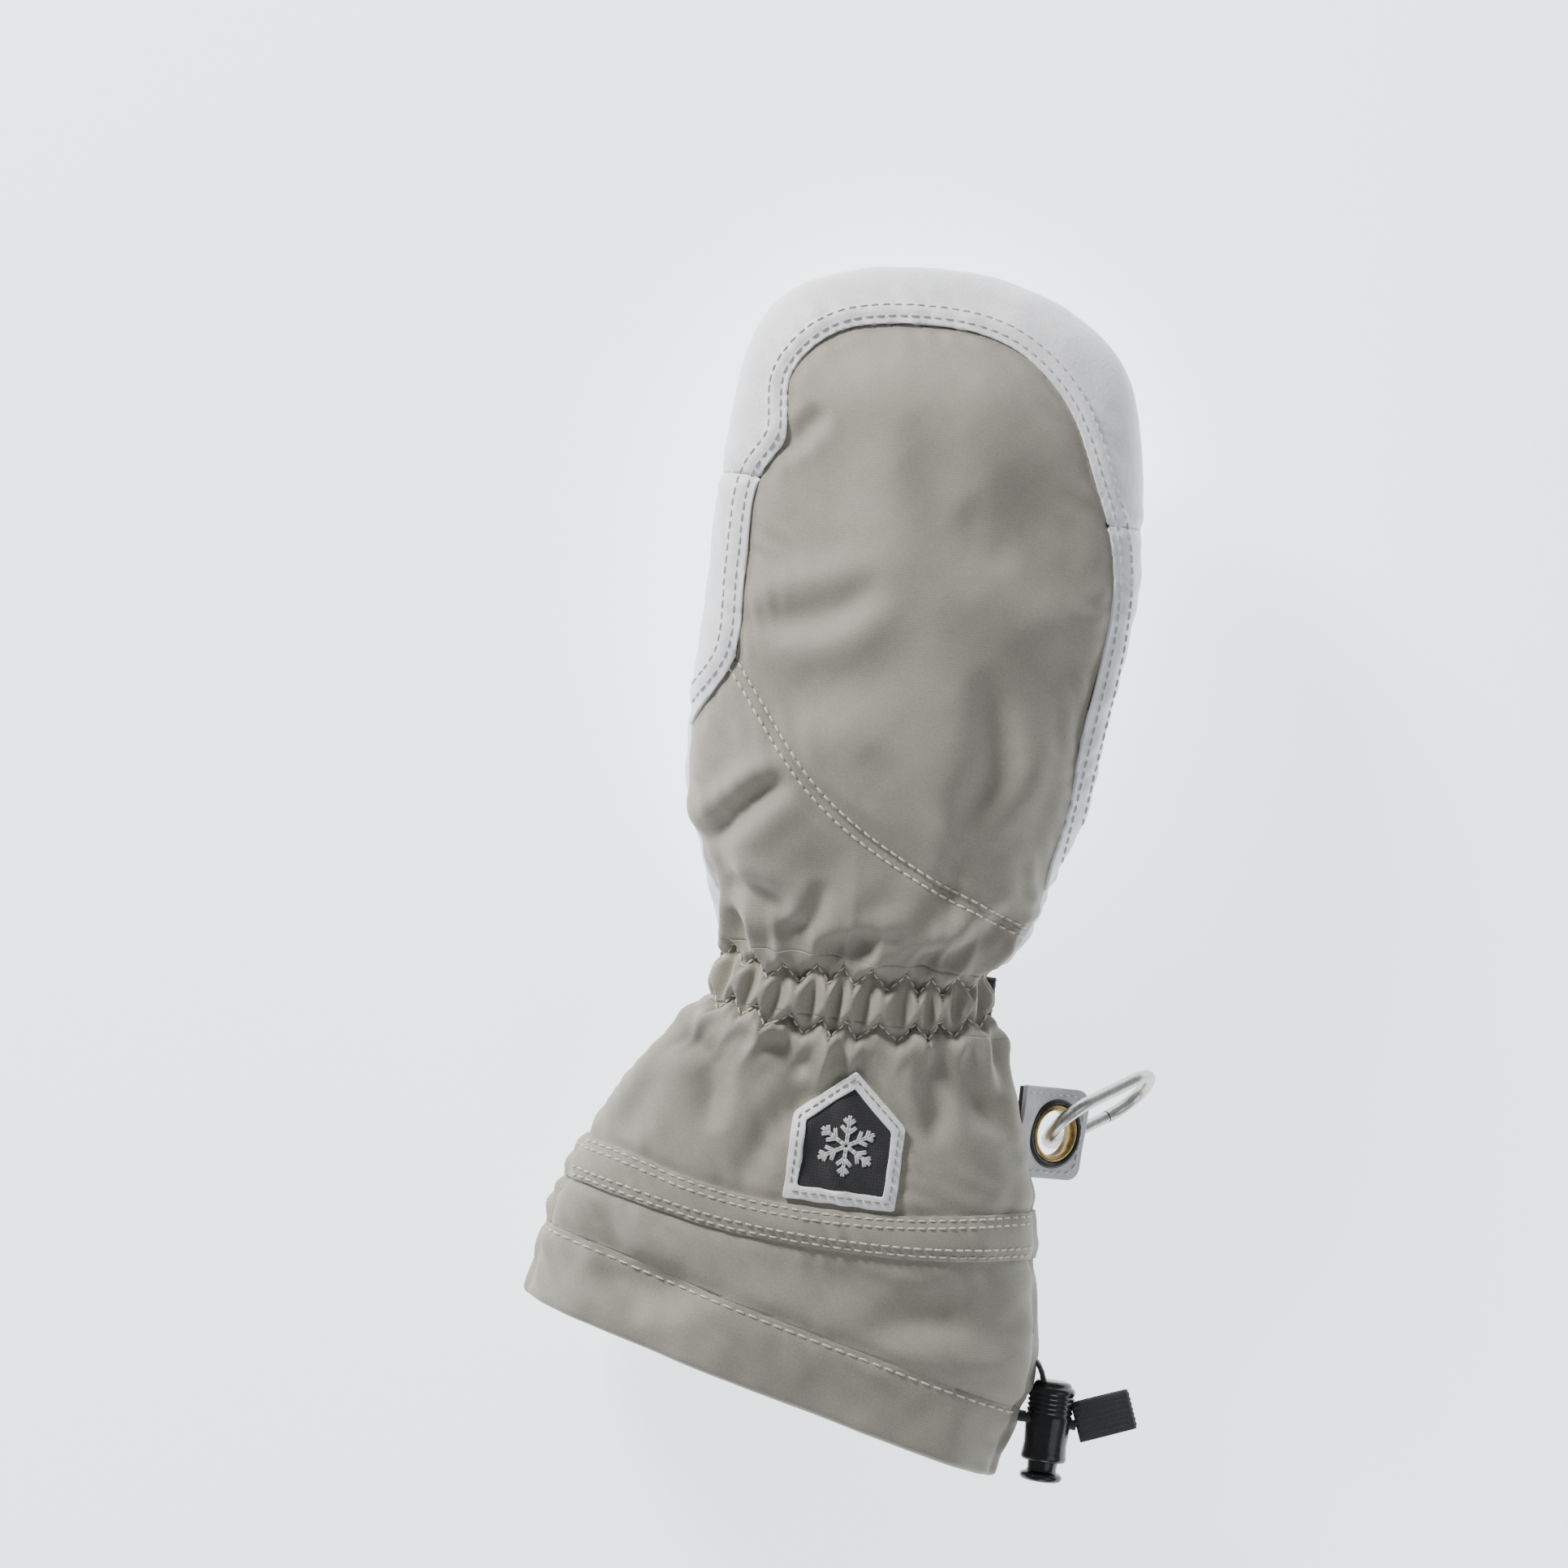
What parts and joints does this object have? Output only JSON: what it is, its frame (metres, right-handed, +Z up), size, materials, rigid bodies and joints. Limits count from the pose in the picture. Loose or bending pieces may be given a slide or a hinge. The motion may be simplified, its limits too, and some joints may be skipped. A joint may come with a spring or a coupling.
{
  "type": "ski mitten",
  "caption": "Padded ski mitten with leather palm, wide cuff, wrist strap, hem drawcord with lock, and a small carabiner on an eyelet tab.",
  "frame": {"origin": "under the middle of the whole mitten, on the surface it lies on", "axes": "+Y towards the fingertips, +Z up and out of the back of the hand, +X towards the little-finger side"},
  "size_m": [0.1725, 0.3225, 0.0757],
  "materials": {
    "shell_fabric": "matte woven softshell, taupe grey",
    "white_leather": "soft grained leather, satin",
    "tab_leather": "grey-white grained leather, satin",
    "liner_cloth": "brushed fleece",
    "padding_fibre": "loose fibre batting",
    "elastic": "ribbed elastic",
    "lining_cloth": "smooth black lining",
    "webbing": "ribbed black webbing",
    "hook_tape": "fine moulded hooks",
    "loop_tape": "fuzzy loops",
    "label_cloth": "fine black weave",
    "brass": "worn satin",
    "black_metal": "satin black",
    "steel": "brushed",
    "ring_metal": "dark satin",
    "black_plastic": "glossy",
    "cord_elastic": "braided elastic"
  },
  "bodies": {
    "shell": {"back_panel": "shell_fabric", "lower_back_panel": "shell_fabric", "tip_band": "white_leather", "index_side_strip": "white_leather", "outer_side_strip": "white_leather", "palm_panel": "white_leather", "thumb_gusset": "white_leather", "wrist_panel": "shell_fabric", "wrist_elastic": "elastic", "cuff_back_panel": "shell_fabric", "cuff_palm_panel": "shell_fabric", "cuff_band": "shell_fabric", "hem_sleeve": "shell_fabric", "cuff_lining": "lining_cloth", "padding": "padding_fibre", "hand_liner": "liner_cloth", "label_frame": "white_leather", "label_field": "label_cloth", "tab_leather": "tab_leather", "tab_backing": "webbing", "eyelet_barrel": "brass", "eyelet_rim": "black_metal", "eyelet_washer": "brass", "wrist_strap": "webbing", "loop_pad": "loop_tape", "strap_ring": "ring_metal", "ring_keeper": "webbing", "drawcord": "cord_elastic", "lock_body": "black_plastic", "lock_tether": "webbing", "pull_tab": "webbing"},
    "thumb": {"thumb_leather": "white_leather", "thumb_fabric": "shell_fabric", "thumb_liner": "liner_cloth"},
    "flap": {"strap_flap": "webbing", "hook_pad": "hook_tape"},
    "carabiner": {"carabiner_body": "steel", "gate_pin": "steel"},
    "gate": {"carabiner_gate": "steel"},
    "button": {"lock_button": "black_plastic"}
  },
  "joints": [
    {"name": "thumb_swing", "type": "hinge", "parent": "shell", "child": "thumb", "pos_m": [-0.0212, 0.0067, 0.0137], "axis": [0, 0, 1], "range_deg": [0, 30]},
    {"name": "strap_peel", "type": "hinge", "parent": "shell", "child": "flap", "pos_m": [-0.0195, -0.0388, 0.02065], "axis": [0, 1, 0], "range_deg": [0, 75]},
    {"name": "carabiner_swing", "type": "hinge", "parent": "shell", "child": "carabiner", "pos_m": [0.0518, -0.0663, 0.0307], "axis": [0.6428, 0, 0.766], "range_deg": [-25, 25]},
    {"name": "gate_open", "type": "hinge", "parent": "carabiner", "child": "gate", "pos_m": [0.05786, -0.06686, 0.0164], "axis": [0.6707, -0.6735, 0.3107], "range_deg": [0, 24], "stiffness_Nm_per_rad": 0.02, "springref_deg": -17.19},
    {"name": "button_press", "type": "slide", "parent": "shell", "child": "button", "axis": [0, 1, 0], "range_m": [0, 0.003], "stiffness_N_per_m": 600, "springref_m": -0.004}
  ]
}
